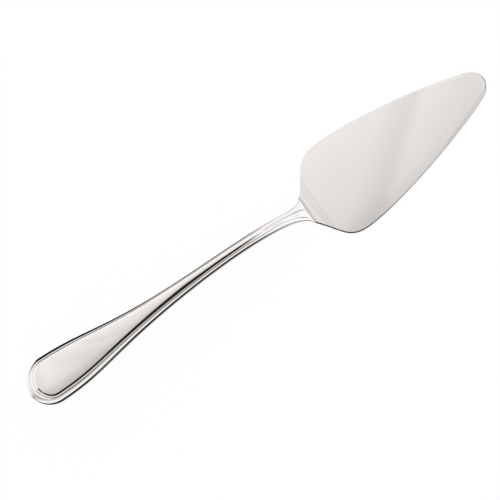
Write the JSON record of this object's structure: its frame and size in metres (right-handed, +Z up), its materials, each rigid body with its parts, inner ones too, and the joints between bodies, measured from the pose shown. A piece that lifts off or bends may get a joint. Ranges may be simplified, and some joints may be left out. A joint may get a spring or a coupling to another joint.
{
  "type": "cake server",
  "caption": "Flat spade-shaped serving blade with a rounded tip, joined at a raised neck to a slim stamped handle that swells to a bordered teardrop grip.",
  "frame": {"origin": "middle of the blade's flat underside, halfway between the crease at the handle and the tip", "axes": "+X along the blade towards its tip, +Y to the left of someone holding the grip, +Z up from the blade"},
  "size_m": [0.25, 0.0504, 0.0238],
  "materials": {
    "polished_steel": "polished stainless steel",
    "weld_steel": "ground flush"
  },
  "bodies": {
    "root": {"blade": "polished_steel", "handle": "polished_steel", "weld_seam": "weld_steel"}
  },
  "joints": []
}
